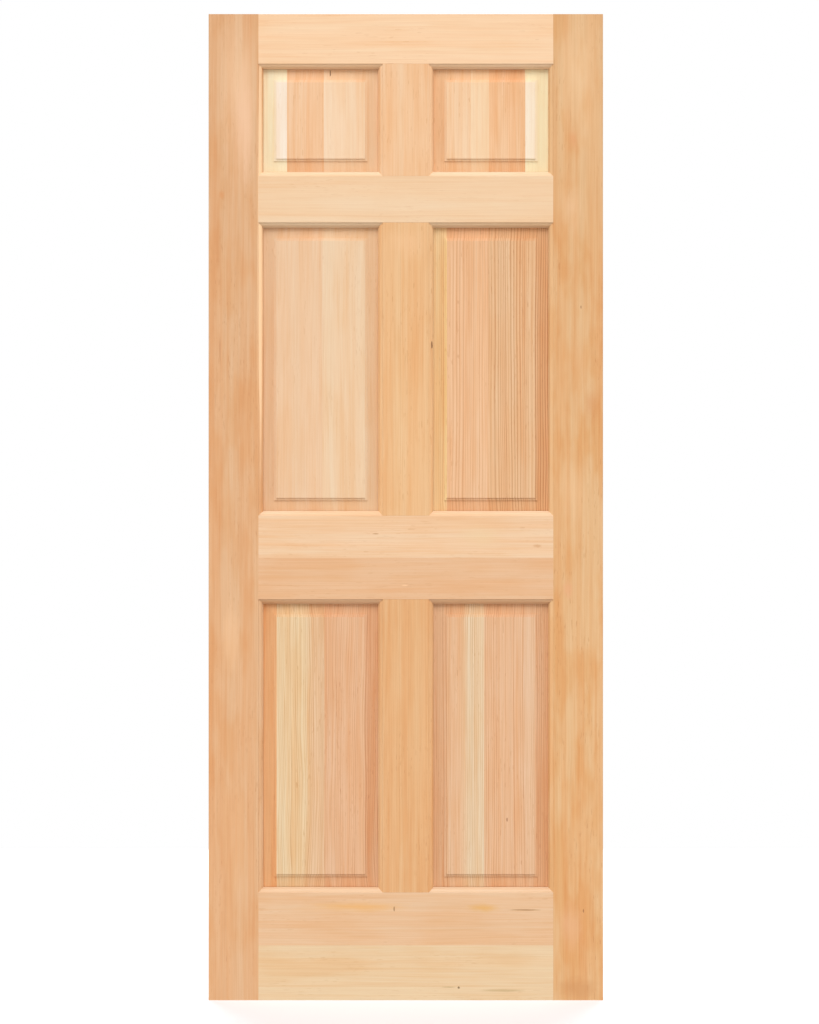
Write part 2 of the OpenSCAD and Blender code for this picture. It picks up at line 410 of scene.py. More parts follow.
def rectangle_point(row, is_right, is_top):
    """The corner of the rectangle for one profile point, as a vector."""
    sampled = put(
        "GeometryNodeSampleIndex",
        {"data_type": "FLOAT_VECTOR"},
        {"Geometry": given.outputs["Profile"], "Value": place_now, "Index": row},
    )
    point = put("ShaderNodeSeparateXYZ", {}, {0: sampled})
    inset, depth = point.outputs["X"], point.outputs["Y"]
    left_x = put("ShaderNodeMath", {"operation": "ADD"}, {0: low.outputs["X"], 1: inset})
    right_x = put("ShaderNodeMath", {"operation": "SUBTRACT"}, {0: high.outputs["X"], 1: inset})
    on_tongue = put("ShaderNodeMath", {"operation": "LESS_THAN"}, {0: inset, 1: -0.1 * MM})
    extra = put(
        "ShaderNodeMath",
        {"operation": "MULTIPLY"},
        {0: on_tongue, 1: given.outputs["Extra low tongue"]},
    )
    bottom_z = put("ShaderNodeMath", {"operation": "ADD"}, {0: low.outputs["Z"], 1: inset})
    lowest_z = put("ShaderNodeMath", {"operation": "SUBTRACT"}, {0: bottom_z, 1: extra})
    top_z = put("ShaderNodeMath", {"operation": "SUBTRACT"}, {0: high.outputs["Z"], 1: inset})
    x = put("GeometryNodeSwitch", {"input_type": "FLOAT"}, {0: is_right, 1: left_x, 2: right_x})
    z = put("GeometryNodeSwitch", {"input_type": "FLOAT"}, {0: is_top, 1: lowest_z, 2: top_z})
    return put("ShaderNodeCombineXYZ", {}, {"X": x, "Y": depth, "Z": z})


print("one point of a rectangle is ready")

# %% The rim and the two flat fields
# The rim has one row of a grid for each profile point, one column for each corner.
rows = size.outputs["Point Count"]
rim = put("GeometryNodeMeshGrid", {}, {"Vertices X": rows, "Vertices Y": COLUMNS})
row = put("FunctionNodeIntegerMath", {"operation": "DIVIDE_FLOOR"}, {0: index, 1: COLUMNS})
column = put("FunctionNodeIntegerMath", {"operation": "MODULO"}, {0: index, 1: COLUMNS})
corner = put("FunctionNodeIntegerMath", {"operation": "MODULO"}, {0: column, 1: 4})
from_middle = put("ShaderNodeMath", {"operation": "SUBTRACT"}, {0: corner, 1: 1.5})
off_middle = put("ShaderNodeMath", {"operation": "ABSOLUTE"}, {0: from_middle})
is_right = put("ShaderNodeMath", {"operation": "LESS_THAN"}, {0: off_middle, 1: 1.0})
is_top = put("ShaderNodeMath", {"operation": "GREATER_THAN"}, {0: corner, 1: 1.5})
rim_place = rectangle_point(row, is_right, is_top)
parts = [put("GeometryNodeSetPosition", {}, {"Geometry": rim, "Position": rim_place})]

# The two flat fields close it, at the profile's first and last points.
last_row = put("FunctionNodeIntegerMath", {"operation": "SUBTRACT"}, {0: rows, 1: 1})
for field_row in (0, last_row):
    sheet = put("GeometryNodeMeshGrid", {}, {"Vertices X": 2, "Vertices Y": 2})
    right = put("FunctionNodeIntegerMath", {"operation": "DIVIDE_FLOOR"}, {0: index, 1: 2})
    top = put("FunctionNodeIntegerMath", {"operation": "MODULO"}, {0: index, 1: 2})
    field_place = rectangle_point(field_row, right, top)
    parts.append(put("GeometryNodeSetPosition", {}, {"Geometry": sheet, "Position": field_place}))
together = put("GeometryNodeJoinGeometry", {}, {0: parts})
welded_rim = put("GeometryNodeMergeByDistance", {}, {"Geometry": together, "Distance": 0.01 * MM})
real = put("GeometryNodeRealizeInstances", {}, {0: welded_rim})
dressed = put(
    "GeometryNodeSetMaterial", {}, {"Geometry": real, "Material": given.outputs["Wood"]}
)
raised_panel.links.new(dressed.outputs[0], made.inputs["Panel"])
print("panel tree nodes:", len(raised_panel.nodes))

# %% Run a tree and keep its plain mesh


def grow(seed_points, tree, settings):
    """A plain mesh from a tree whose first input is a mesh of points. Settings fill the others."""
    seed_mesh = bpy.data.meshes.new("seed")
    seed_mesh.from_pydata(seed_points, [], [])
    holder = bpy.data.objects.new("seed", seed_mesh)
    bpy.context.scene.collection.objects.link(holder)
    modifier = holder.modifiers.new("tree", "NODES")
    modifier.node_group = tree
    for item in tree.interface.items_tree:
        if item.in_out == "INPUT" and item.name in settings:
            modifier[item.identifier] = settings[item.name]
    evaluated = holder.evaluated_get(bpy.context.evaluated_depsgraph_get())
    grown = bpy.data.meshes.new_from_object(evaluated)
    bpy.data.objects.remove(holder)
    return grown


plain_wood = bpy.data.materials.new("bare_fir_blank")

# %% Cut each panel at its glue lines
PANELS = {
    "panel_top_left": 4, "panel_top_right": 4, "panel_tall_left": 2,
    "panel_tall_right": 3, "panel_low_left": 3, "panel_low_right": 2,
}


def cut_off(shape, x, keep_right):
    """Cuts the shape at a plane across X, drops one side and closes the cut."""
    everything = [*shape.verts, *shape.edges, *shape.faces]
    bmesh.ops.bisect_plane(
        shape, geom=everything, dist=WELD, plane_co=(x, 0, 0), plane_no=(1, 0, 0),
        clear_inner=keep_right, clear_outer=not keep_right,
    )
    open_edges = [edge for edge in shape.edges if edge.is_boundary]
    bmesh.ops.holes_fill(shape, edges=open_edges, sides=0)


for panel, count in PANELS.items():
    staves = [f"{panel}_stave_{i + 1}" for i in range(count)]
    first_low, last_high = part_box(staves[0])[0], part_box(staves[-1])[1]
    settings = {
        "Opening low": first_low + Vector((SIDE_TONGUE, 0, LOW_TONGUE)),
        "Opening high": last_high - Vector((SIDE_TONGUE, 0, SIDE_TONGUE)),
        "Extra low tongue": LOW_TONGUE - SIDE_TONGUE,
        "Wood": plain_wood,
    }
    whole = grow(profile, raised_panel, settings)
    for stave in staves:
        shape = bmesh.new()
        shape.from_mesh(whole)
        low_x, high_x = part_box(stave)[0].x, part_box(stave)[1].x
        if stave != staves[0]:
            cut_off(shape, low_x, keep_right=True)
        if stave != staves[-1]:
            cut_off(shape, high_x, keep_right=False)
        bmesh.ops.recalc_face_normals(shape, faces=shape.faces)
        closed = all(len(edge.link_faces) == 2 for edge in shape.edges)
        volume = shape.calc_volume()
        pieces[stave] = stand_in(finish_piece(f"{stave}_fir", shape), stave)
        print(stave, "closed" if closed else "OPEN", round(volume * 1e6), "cm3")

# %% [markdown]
# ## Fluted dowels
#
# Each joint is pinned by beech dowels that can't be seen once the door is glued
# up. A bought dowel is fluted so that glue can escape, and its ends are bevelled
# so that it starts in its bore. It could be a plain cylinder, but the flutes are a
# rule: every fourth point of the circle is pulled in. A tree makes one dowel and
# puts a copy at each place, and the places are read from the exact solids.

# %% Geometry Nodes: one dowel, copied to each place
dowel_inputs = {
    "Places": ("NodeSocketGeometry", None),
    "Diameter": (FLOAT, 16 * MM),
    "Length": (FLOAT, 127 * MM),
    "End bevel": (FLOAT, 1.5 * MM),
    "Flutes": ("NodeSocketInt", 20),
    "Flute depth": (FLOAT, 0.6 * MM),
    "Turn": (VECTOR, (0, 0, 0)),
    "Wood": ("NodeSocketMaterial", None),
}
fluted_dowels, given, made = new_group(
    "fluted dowels", "GeometryNodeTree", dowel_inputs, {"Dowels": ("NodeSocketGeometry", None)}
)
put = partial(add, fluted_dowels)
diameter, bevel = given.outputs["Diameter"], given.outputs["End bevel"]
index = put("GeometryNodeInputIndex")
radius = put("ShaderNodeMath", {"operation": "DIVIDE"}, {0: diameter, 1: 2.0})
points = put("ShaderNodeMath", {"operation": "MULTIPLY"}, {0: given.outputs["Flutes"], 1: 4.0})
circle = put("GeometryNodeCurvePrimitiveCircle", {}, {"Resolution": points, "Radius": radius})
turn_in_flute = put("FunctionNodeIntegerMath", {"operation": "MODULO"}, {0: index, 1: 4})
in_flute = put("ShaderNodeMath", {"operation": "COMPARE"}, {0: turn_in_flute, 1: 2.0, 2: 0.1})
pulled = put(
    "ShaderNodeMath", {"operation": "MULTIPLY"}, {0: in_flute, 1: given.outputs["Flute depth"]}
)
share = put("ShaderNodeMath", {"operation": "DIVIDE"}, {0: pulled, 1: radius})
kept = put("ShaderNodeMath", {"operation": "SUBTRACT"}, {0: 1.0, 1: share})
scaled = put(
    "ShaderNodeVectorMath", {"operation": "SCALE"}, {0: put("GeometryNodeInputPosition"), 1: kept}
)
section = put("GeometryNodeSetPosition", {}, {"Geometry": circle, "Position": scaled})

print("the section has four points for each flute")

# %% The dowel's middle line, and its copies
# Four points lie on the line: both ends, and where each end's bevel starts.
half = put("ShaderNodeMath", {"operation": "DIVIDE"}, {0: given.outputs["Length"], 1: 2.0})
from_middle = put("ShaderNodeMath", {"operation": "SUBTRACT"}, {0: index, 1: 1.5})
way = put("ShaderNodeMath", {"operation": "SIGN"}, {0: from_middle})
out = put("ShaderNodeMath", {"operation": "ABSOLUTE"}, {0: from_middle})
at_end = put("ShaderNodeMath", {"operation": "GREATER_THAN"}, {0: out, 1: 1.0})
short = put("ShaderNodeMath", {"operation": "SUBTRACT"}, {0: half, 1: bevel})
reach = put("GeometryNodeSwitch", {"input_type": "FLOAT"}, {0: at_end, 1: short, 2: half})
height = put("ShaderNodeMath", {"operation": "MULTIPLY"}, {0: reach, 1: way})
line = put("GeometryNodeCurvePrimitiveLine", {}, {"End": (0, 0, 1)})
four = put("GeometryNodeResampleCurve", {}, {"Curve": line, "Count": 4})
placed = put(
    "GeometryNodeSetPosition",
    {},
    {"Geometry": four, "Position": put("ShaderNodeCombineXYZ", {}, {"Z": height})},
)
end_radius = put("ShaderNodeMath", {"operation": "SUBTRACT"}, {0: radius, 1: bevel})
end_scale = put("ShaderNodeMath", {"operation": "DIVIDE"}, {0: end_radius, 1: radius})
scale = put("GeometryNodeSwitch", {"input_type": "FLOAT"}, {0: at_end, 1: 1.0, 2: end_scale})
spine = put("GeometryNodeSetCurveRadius", {}, {"Curve": placed, "Radius": scale})
body = put(
    "GeometryNodeCurveToMesh", {}, {"Curve": spine, "Profile Curve": section, "Fill Caps": True}
)
copies = put(
    "GeometryNodeInstanceOnPoints",
    {},
    {"Points": given.outputs["Places"], "Instance": body, "Rotation": given.outputs["Turn"]},
)
real = put("GeometryNodeRealizeInstances", {}, {0: copies})
dressed = put(
    "GeometryNodeSetMaterial", {}, {"Geometry": real, "Material": given.outputs["Wood"]}
)
fluted_dowels.links.new(dressed.outputs[0], made.inputs["Dowels"])
print("dowel tree nodes:", len(fluted_dowels.nodes))

# %% Put the dowels in place
DOWEL_GROUPS = ["top_rail_dowels", "frieze_rail_dowels", "lock_rail_dowels"]
DOWEL_GROUPS += ["bottom_rail_dowels", "mullion_dowels"]
for group in DOWEL_GROUPS:
    boxes = islands(group)
    dowel_size = boxes[0][1] - boxes[0][0]
    lies = dowel_size.x > dowel_size.z
    settings = {
        "Diameter": dowel_size.y,
        "Length": max(dowel_size),
        "Turn": (0, math.radians(90) if lies else 0, 0),
        "Wood": plain_wood,
    }
    grown = grow([(low + high) / 2 for low, high in boxes], fluted_dowels, settings)
    shape = bmesh.new()
    shape.from_mesh(grown)
    bmesh.ops.remove_doubles(shape, verts=shape.verts, dist=WELD)
    bmesh.ops.recalc_face_normals(shape, faces=shape.faces)
    pieces[group] = stand_in(finish_piece(f"{group}_beech", shape, 30), group)
    print(group, len(boxes), "dowels,", len(grown.polygons), "faces")

# %% [markdown]
# ## Douglas fir
#
# Fir is pale early wood with a thin, darker line of late wood for every year. The
# boards are sawn so that the rings stand upright to the face, so on the surface
# they are nearly straight lines along the grain, a millimetre or two apart in slow
# wood and five in fast. An image could show this, but a solid pattern is truer: it
# runs through the piece, so a bevel cuts the same rings as the field beside it. All
# its sizes are in millimetres: x across the grain, y into the wood, z along it.

# %% Node group for the grain, and where a point lies among the rings
grain_inputs = {
    "Place": (VECTOR, (0, 0, 0)),
    "Wood": (COLOUR, linear("#dcaf80")),
    "Sapwood": (COLOUR, linear("#e6d0a8")),
    "Sapwood from": (FLOAT, 900.0),
    "Pith": (VECTOR, (-600, 200, 0)),
    "Ring width": (FLOAT, 2.2),
    "Lines": (FLOAT, 0.2),
    "Wander": (FLOAT, 4.0),
    "Streaks": (FLOAT, 1.0),
    "Blotches": (FLOAT, 0.5),
    "Seed": (FLOAT, 0.0),
}
fir_grain, given, made = new_group(
    "fir grain", "ShaderNodeTree", grain_inputs, {"Colour": (COLOUR, None), "Height": (FLOAT, None)}
)
put = partial(add, fir_grain)
place, seed = given.outputs["Place"], given.outputs["Seed"]
apart = put("ShaderNodeSeparateXYZ", {}, {0: place})

# Distance from the pith, less the distance of the piece's centre line. The grain
# wanders by a few millimetres over the length of a board.
from_pith = put(
    "ShaderNodeVectorMath", {"operation": "SUBTRACT"}, {0: place, 1: given.outputs["Pith"]}
)
level = put("ShaderNodeVectorMath", {"operation": "MULTIPLY"}, {0: from_pith, 1: (1, 1, 0)})
radius = put("ShaderNodeVectorMath", {"operation": "LENGTH"}, {0: level})
pith_off = put("ShaderNodeVectorMath", {"operation": "LENGTH"}, {0: given.outputs["Pith"]})
ring_place = put(
    "ShaderNodeMath", {"operation": "SUBTRACT"}, {0: usable(radius.outputs, 0), 1: pith_off}
)
WANDER_ACROSS, WANDER_ALONG = 70, 420
wander_scale = (1 / WANDER_ACROSS, 1 / WANDER_ACROSS, 1 / WANDER_ALONG)
wander_place = put("ShaderNodeVectorMath", {"operation": "MULTIPLY"}, {0: place, 1: wander_scale})
wander_noise = put(
    "ShaderNodeTexNoise", {"noise_dimensions": "4D"},
    {"Vector": wander_place, "W": seed, "Scale": 1.0, "Detail": 2.0, "Roughness": 0.45},
)
wander_signed = put(
    "ShaderNodeMath", {"operation": "MULTIPLY_ADD"}, {0: wander_noise, 1: 4.0, 2: -2.0}
)
ring_place = put(
    "ShaderNodeMath", {"operation": "MULTIPLY_ADD"},
    {0: wander_signed, 1: given.outputs["Wander"], 2: ring_place},
)

print("the grain wanders over", WANDER_ALONG, "mm")

# %% [markdown]
# ### Years
#
# A year's growth starts pale and soft and ends in a hard, darker line that stops
# sharply. A plain wave would repeat like corduroy. Real years are wide and narrow
# in turn, after wet and dry summers, so noise stretches the count of years, and
# chance gives each year's line its own strength.

# %% Years, and how far each point is into its late wood
years = put(
    "ShaderNodeMath", {"operation": "DIVIDE"}, {0: ring_place, 1: given.outputs["Ring width"]}
)
pace = put("ShaderNodeMath", {"operation": "MULTIPLY_ADD"}, {0: years, 1: 0.17, 2: seed})
pace_noise = put(
    "ShaderNodeTexNoise", {"noise_dimensions": "1D"}, {"W": pace, "Scale": 1.0, "Detail": 1.0}
)
years = put("ShaderNodeMath", {"operation": "MULTIPLY_ADD"}, {0: pace_noise, 1: 3.0, 2: years})
phase = put("ShaderNodeMath", {"operation": "FRACT"}, {0: years})
year = put("ShaderNodeMath", {"operation": "FLOOR"}, {0: years})
year_key = put("ShaderNodeMath", {"operation": "MULTIPLY_ADD"}, {0: seed, 1: 7.3, 2: year})
luck = put("ShaderNodeTexWhiteNoise", {"noise_dimensions": "1D"}, {"W": year_key})
strength = put(
    "ShaderNodeMapRange", {}, {"Value": luck.outputs["Value"], "To Min": 0.3, "To Max": 1.0}
)
rise = put(
    "ShaderNodeMapRange", {"interpolation_type": "SMOOTHSTEP"},
    {"Value": phase, "From Min": 0.4, "From Max": 0.85},
)
fall = put(
    "ShaderNodeMapRange", {"interpolation_type": "SMOOTHSTEP"},
    {"Value": phase, "From Min": 0.9, "From Max": 1.0, "To Min": 1.0, "To Max": 0.0},
)
late = put("ShaderNodeMath", {"operation": "MULTIPLY"}, {0: rise, 1: fall})
late = put("ShaderNodeMath", {"operation": "MULTIPLY"}, {0: late, 1: strength})

print("nodes up to the late wood:", len(fir_grain.nodes))

# %% [markdown]
# ### Colour along the grain
#
# Sapwood turns into heartwood along a ring. Over that lie fibres, streaks and
# wide bands, each a little darker than the wood. They follow the rings, so their
# place uses them, and each is noise that is stretched along the board. True fibres
# are a thirtieth of a millimetre wide, and are drawn coarse enough to see.

# %% Heartwood, sapwood, late wood and bands
along_rings = put(
    "ShaderNodeCombineXYZ", {}, {"X": ring_place, "Y": apart.outputs["Y"], "Z": apart.outputs["Z"]}
)
SAPWOOD_EDGE = 30.0  # mm over which heartwood turns into sapwood
SAPWOOD_FROM = given.outputs["Sapwood from"]
sapwood_full = put("ShaderNodeMath", {"operation": "ADD"}, {0: SAPWOOD_FROM, 1: SAPWOOD_EDGE})
sapwood_share = put(
    "ShaderNodeMapRange", {"interpolation_type": "SMOOTHSTEP"},
    {"Value": ring_place, "From Min": SAPWOOD_FROM, "From Max": sapwood_full},
)
STREAKS, BLOTCHES = given.outputs["Streaks"], given.outputs["Blotches"]
FIBRE_WIDTH = 1.2
RINGS, ROUND = along_rings, place
LAYERS = [  # its place, size in mm, detail, shift, from and to, how much of it, tint
    (RINGS, (26, 60, 900), 1, 37, 0.38, 0.62, STREAKS, "#fff7ef"),
    (RINGS, (9, 30, 420), 2, 29, 0.42, 0.66, STREAKS, "#fdf4ea"),
    (RINGS, (4, 16, 200), 2, 23, 0.45, 0.72, STREAKS, "#fbf4ec"),
    (RINGS, (FIBRE_WIDTH, 5, 90), 2, 11, 0.35, 0.70, STREAKS, "#f9f4ef"),
    (ROUND, (45, 45, 170), 3, 53, 0.42, 0.66, BLOTCHES, "#fbecd8"),
]
colour = put(
    "ShaderNodeMix", {"data_type": "RGBA"},
    {"Factor": sapwood_share, "A": given.outputs["Wood"], "B": given.outputs["Sapwood"]},
)
line_share = put("ShaderNodeMath", {"operation": "MULTIPLY"}, {0: late, 1: given.outputs["Lines"]})
colour = put(
    "ShaderNodeMix", {"data_type": "RGBA", "blend_type": "MULTIPLY"},
    {"Factor": line_share, "A": colour, "B": linear("#cda26f")},
)
for where, size_mm, detail, shift, start, full, share_of_it, tint in LAYERS:
    scale = tuple(1 / side for side in size_mm)
    scaled = put("ShaderNodeVectorMath", {"operation": "MULTIPLY"}, {0: where, 1: scale})
    own = put("ShaderNodeMath", {"operation": "ADD"}, {0: seed, 1: shift})
    noise = put(
        "ShaderNodeTexNoise", {"noise_dimensions": "4D"},
        {"Vector": scaled, "W": own, "Scale": 1.0, "Detail": detail, "Roughness": 0.55},
    )
    there = put(
        "ShaderNodeMapRange", {"interpolation_type": "SMOOTHSTEP"},
        {"Value": noise, "From Min": start, "From Max": full},
    )
    amount = put("ShaderNodeMath", {"operation": "MULTIPLY"}, {0: there, 1: share_of_it})
    colour = put(
        "ShaderNodeMix", {"data_type": "RGBA", "blend_type": "MULTIPLY"},
        {"Factor": amount, "A": colour, "B": linear(tint)},
    )
    if size_mm[0] == FIBRE_WIDTH:
        fibre = noise

print("layers over the wood:", len(LAYERS))

# %% Short dark ticks in loose flocks
# One noise makes the ticks and the other says where they gather.
FLOCK_LAYERS = [((1.5, 4, 16), 41, 0.68, 0.78), ((30, 60, 160), 43, 0.45, 0.62)]
flock = []
for size_mm, shift, start, full in FLOCK_LAYERS:
    scale = tuple(1 / side for side in size_mm)
    scaled = put("ShaderNodeVectorMath", {"operation": "MULTIPLY"}, {0: RINGS, 1: scale})
    own = put("ShaderNodeMath", {"operation": "ADD"}, {0: seed, 1: shift})
    noise = put(
        "ShaderNodeTexNoise", {"noise_dimensions": "4D"},
        {"Vector": scaled, "W": own, "Scale": 1.0, "Detail": 0.0},
    )
    flock.append(
        put(
            "ShaderNodeMapRange", {"interpolation_type": "SMOOTHSTEP"},
            {"Value": noise, "From Min": start, "From Max": full},
        )
    )
ticks = put("ShaderNodeMath", {"operation": "MULTIPLY"}, {0: flock[0], 1: flock[1]})
ticks = put("ShaderNodeMath", {"operation": "MULTIPLY"}, {0: ticks, 1: STREAKS})
colour = put(
    "ShaderNodeMix", {"data_type": "RGBA", "blend_type": "MULTIPLY"},
    {"Factor": ticks, "A": colour, "B": linear("#f0e6dc")},
)
fir_grain.links.new(colour.outputs[2], made.inputs["Colour"])
print("tick layers:", len(flock))

# %% Relief that the sander leaves
# Late wood is harder, so sanding leaves it a little proud. Heights are in mm.
LATE_RELIEF, FIBRE_RELIEF = 0.03, 0.05
relief = put("ShaderNodeMath", {"operation": "MULTIPLY"}, {0: late, 1: LATE_RELIEF})
relief = put(
    "ShaderNodeMath", {"operation": "MULTIPLY_ADD"}, {0: fibre, 1: FIBRE_RELIEF, 2: relief}
)
fir_grain.links.new(relief.outputs[0], made.inputs["Height"])
print("grain nodes:", len(fir_grain.nodes))

# %% Node group: one local mark
mark_inputs = {
    "Colour": (COLOUR, None),
    "Place": (VECTOR, (0, 0, 0)),
    "Centre": (VECTOR, (0, 0, 0)),
    "Half size": (VECTOR, (10, 12, 30)),
    "Softness": (FLOAT, 0.6),
    "Stain": (COLOUR, None),
    "Strength": (FLOAT, 0.5),
}
local_mark, given, made = new_group(
    "local mark", "ShaderNodeTree", mark_inputs, {"Colour": (COLOUR, None)}
)
put = partial(add, local_mark)
off = put(
    "ShaderNodeVectorMath", {"operation": "SUBTRACT"},
    {0: given.outputs["Place"], 1: given.outputs["Centre"]},
)
share = put(
    "ShaderNodeVectorMath", {"operation": "DIVIDE"}, {0: off, 1: given.outputs["Half size"]}
)
ragged = put(
    "ShaderNodeTexNoise", {}, {"Vector": share, "Scale": 1.7, "Detail": 3.0, "Roughness": 0.6}
)
distance = put("ShaderNodeVectorMath", {"operation": "LENGTH"}, {0: share})
distance = put(
    "ShaderNodeMath", {"operation": "MULTIPLY_ADD"},
    {0: ragged, 1: 0.9, 2: usable(distance.outputs, 0)},
)
OUTER = 1.45  # the ragged noise pushes the edge this far out, in half sizes
inner = put("ShaderNodeMath", {"operation": "SUBTRACT"}, {0: OUTER, 1: given.outputs["Softness"]})
inside = put(
    "ShaderNodeMapRange", {"interpolation_type": "SMOOTHSTEP"},
    {"Value": distance, "From Min": inner, "From Max": OUTER, "To Min": 1.0, "To Max": 0.0},
)
amount = put(
    "ShaderNodeMath", {"operation": "MULTIPLY"}, {0: inside, 1: given.outputs["Strength"]}
)
mixed = put(
    "ShaderNodeMix", {"data_type": "RGBA"},
    {"Factor": amount, "A": given.outputs["Colour"], "B": given.outputs["Stain"]},
)
local_mark.links.new(mixed.outputs[2], made.inputs["Colour"])
print("mark nodes:", len(local_mark.nodes))

# %% [markdown]
# ## Every piece its own wood
#
# A mill sorts fir by its grain and not by its colour, so a door mixes pale and
# orange boards, and the staves of one panel seldom match. The colour of each piece
# is chosen by itself, with the width of its rings and how strong their lines are.
# It also holds painted light: pieces high on the door are paler and those low down
# deeper, for light that is stronger at the top of the door.
# Staves next to the bark hold creamy sapwood, which fades into pink heartwood along
# a ring. The sunk bevels and steps of a panel are painted darker and more orange
# than its field: painted shade, for the shade and warm bounce light in the recess.

# %% The look of each piece
# Painted shade on the sunk bevels: shares of red, green and blue of the field colour
RECESS_SHADE_TINT = (0.98, 0.87, 0.77)
RECESS_SHADE_SAPWOOD = (1.02, 1.02, 0.84)
RECESS_SHADE_YELLOW = (0.98, 0.88, 0.95)
FAR_OFF = 900.0  # mm from a piece's middle, so it holds no sapwood
# Besides each board's own colour, these colours hold painted light: paler high on the door, deeper
# low down.
LOOKS = {  # widths of the rings are in mm
    "stile_left": dict(wood_and_light="#d6b18c", ring=2.6, lines=0.14, streaks=0.9, blotches=0.8),
    "stile_right": dict(wood_and_light="#d8b58a", ring=2.4, lines=0.12, streaks=1.0, blotches=1.2),
    "top_rail": dict(wood_and_light="#edd1b1", ring=2.2, lines=0.10, streaks=0.6, blotches=0.3),
    "frieze_rail": dict(wood_and_light="#e5ccad", ring=2.2, lines=0.08, streaks=0.5, blotches=0.2),
    "lock_rail_upper_board": dict(wood_and_light="#e3c8aa", ring=3.0, lines=0.10, streaks=0.7),
    "lock_rail_lower_board": dict(wood_and_light="#dbb896", ring=2.6, lines=0.10, streaks=0.6),
    "bottom_rail_upper_board": dict(wood_and_light="#dbbe9f", ring=3.0, lines=0.10, streaks=0.7),
    "bottom_rail_lower_board": dict(wood_and_light="#dcc6a5", ring=3.4, lines=0.10, streaks=0.6),
    "mullion_top": dict(wood_and_light="#e7c8a6", ring=2.4, lines=0.12, streaks=0.8),
    "mullion_middle": dict(wood_and_light="#e0bd92", ring=2.4, lines=0.16, streaks=0.9),
    "mullion_bottom": dict(wood_and_light="#d9b286", ring=2.6, lines=0.16, streaks=0.9),
    "panel_top_left_stave_1": dict(
        wood_and_light="#ece2d5", ring=3.0, lines=0.05, streaks=0.5, recess_shade=RECESS_SHADE_SAPWOOD
    ),
    "panel_top_left_stave_2": dict(wood_and_light="#e7c6a5", ring=2.4, lines=0.12, streaks=0.8),
    "panel_top_left_stave_3": dict(wood_and_light="#e9d2b7", ring=2.4, lines=0.06, streaks=0.5),
    "panel_top_left_stave_4": dict(wood_and_light="#e8cfb2", ring=2.2, lines=0.08, streaks=0.6),
    "panel_top_right_stave_1": dict(wood_and_light="#e9ceaf", ring=2.6, lines=0.14),
    "panel_top_right_stave_2": dict(wood_and_light="#ead4b6", ring=2.6, lines=0.08, streaks=0.6),
    "panel_top_right_stave_3": dict(wood_and_light="#e7c4a0", ring=3.0, lines=0.24),
    "panel_top_right_stave_4": dict(
        wood_and_light="#ece2d0", ring=3.0, lines=0.05, streaks=0.5, recess_shade=RECESS_SHADE_SAPWOOD
    ),
    "panel_tall_left_stave_1": dict(wood_and_light="#e0c5a8", ring=2.2, lines=0.10, streaks=0.7),
    "panel_tall_left_stave_2": dict(wood_and_light="#e1cbaf", ring=2.2, lines=0.08, streaks=0.7),
    "panel_tall_right_stave_1": dict(
        wood_and_light="#e9d6a0", ring=4.0, lines=0.34, recess_shade=RECESS_SHADE_YELLOW
    ),
    "panel_tall_right_stave_2": dict(wood_and_light="#e2c1a0", ring=4.6, lines=0.42, wander=3),
    "panel_tall_right_stave_3": dict(wood_and_light="#ddbc98", ring=5.0, lines=0.75, wander=3),
    "panel_low_left_stave_1": dict(wood_and_light="#e2b98d", ring=3.2, lines=0.4),
    "panel_low_left_stave_2": dict(
        wood_and_light="#dabfa0", ring=4.0, lines=0.5, wander=11,
        sapwood="#ddccac", sap_from=-24, pith_side=1,
    ),
    "panel_low_left_stave_3": dict(wood_and_light="#dab89a", ring=3.6, lines=0.45, wander=7),
    "panel_low_right_stave_1": dict(
        wood_and_light="#dbbc9e", ring=3.6, lines=0.5, sapwood="#dccdb4", sap_from=4
    ),
    "panel_low_right_stave_2": dict(wood_and_light="#dbbc9f", ring=3.8, lines=0.5, wander=3),
}
print("pieces of fir:", len(LOOKS))

# %% Build one piece's material
PITH_AWAY, PITH_BEHIND = 500, 150  # mm from a piece to the heart of its tree
MARK_DEPTH = 14  # mm into the wood


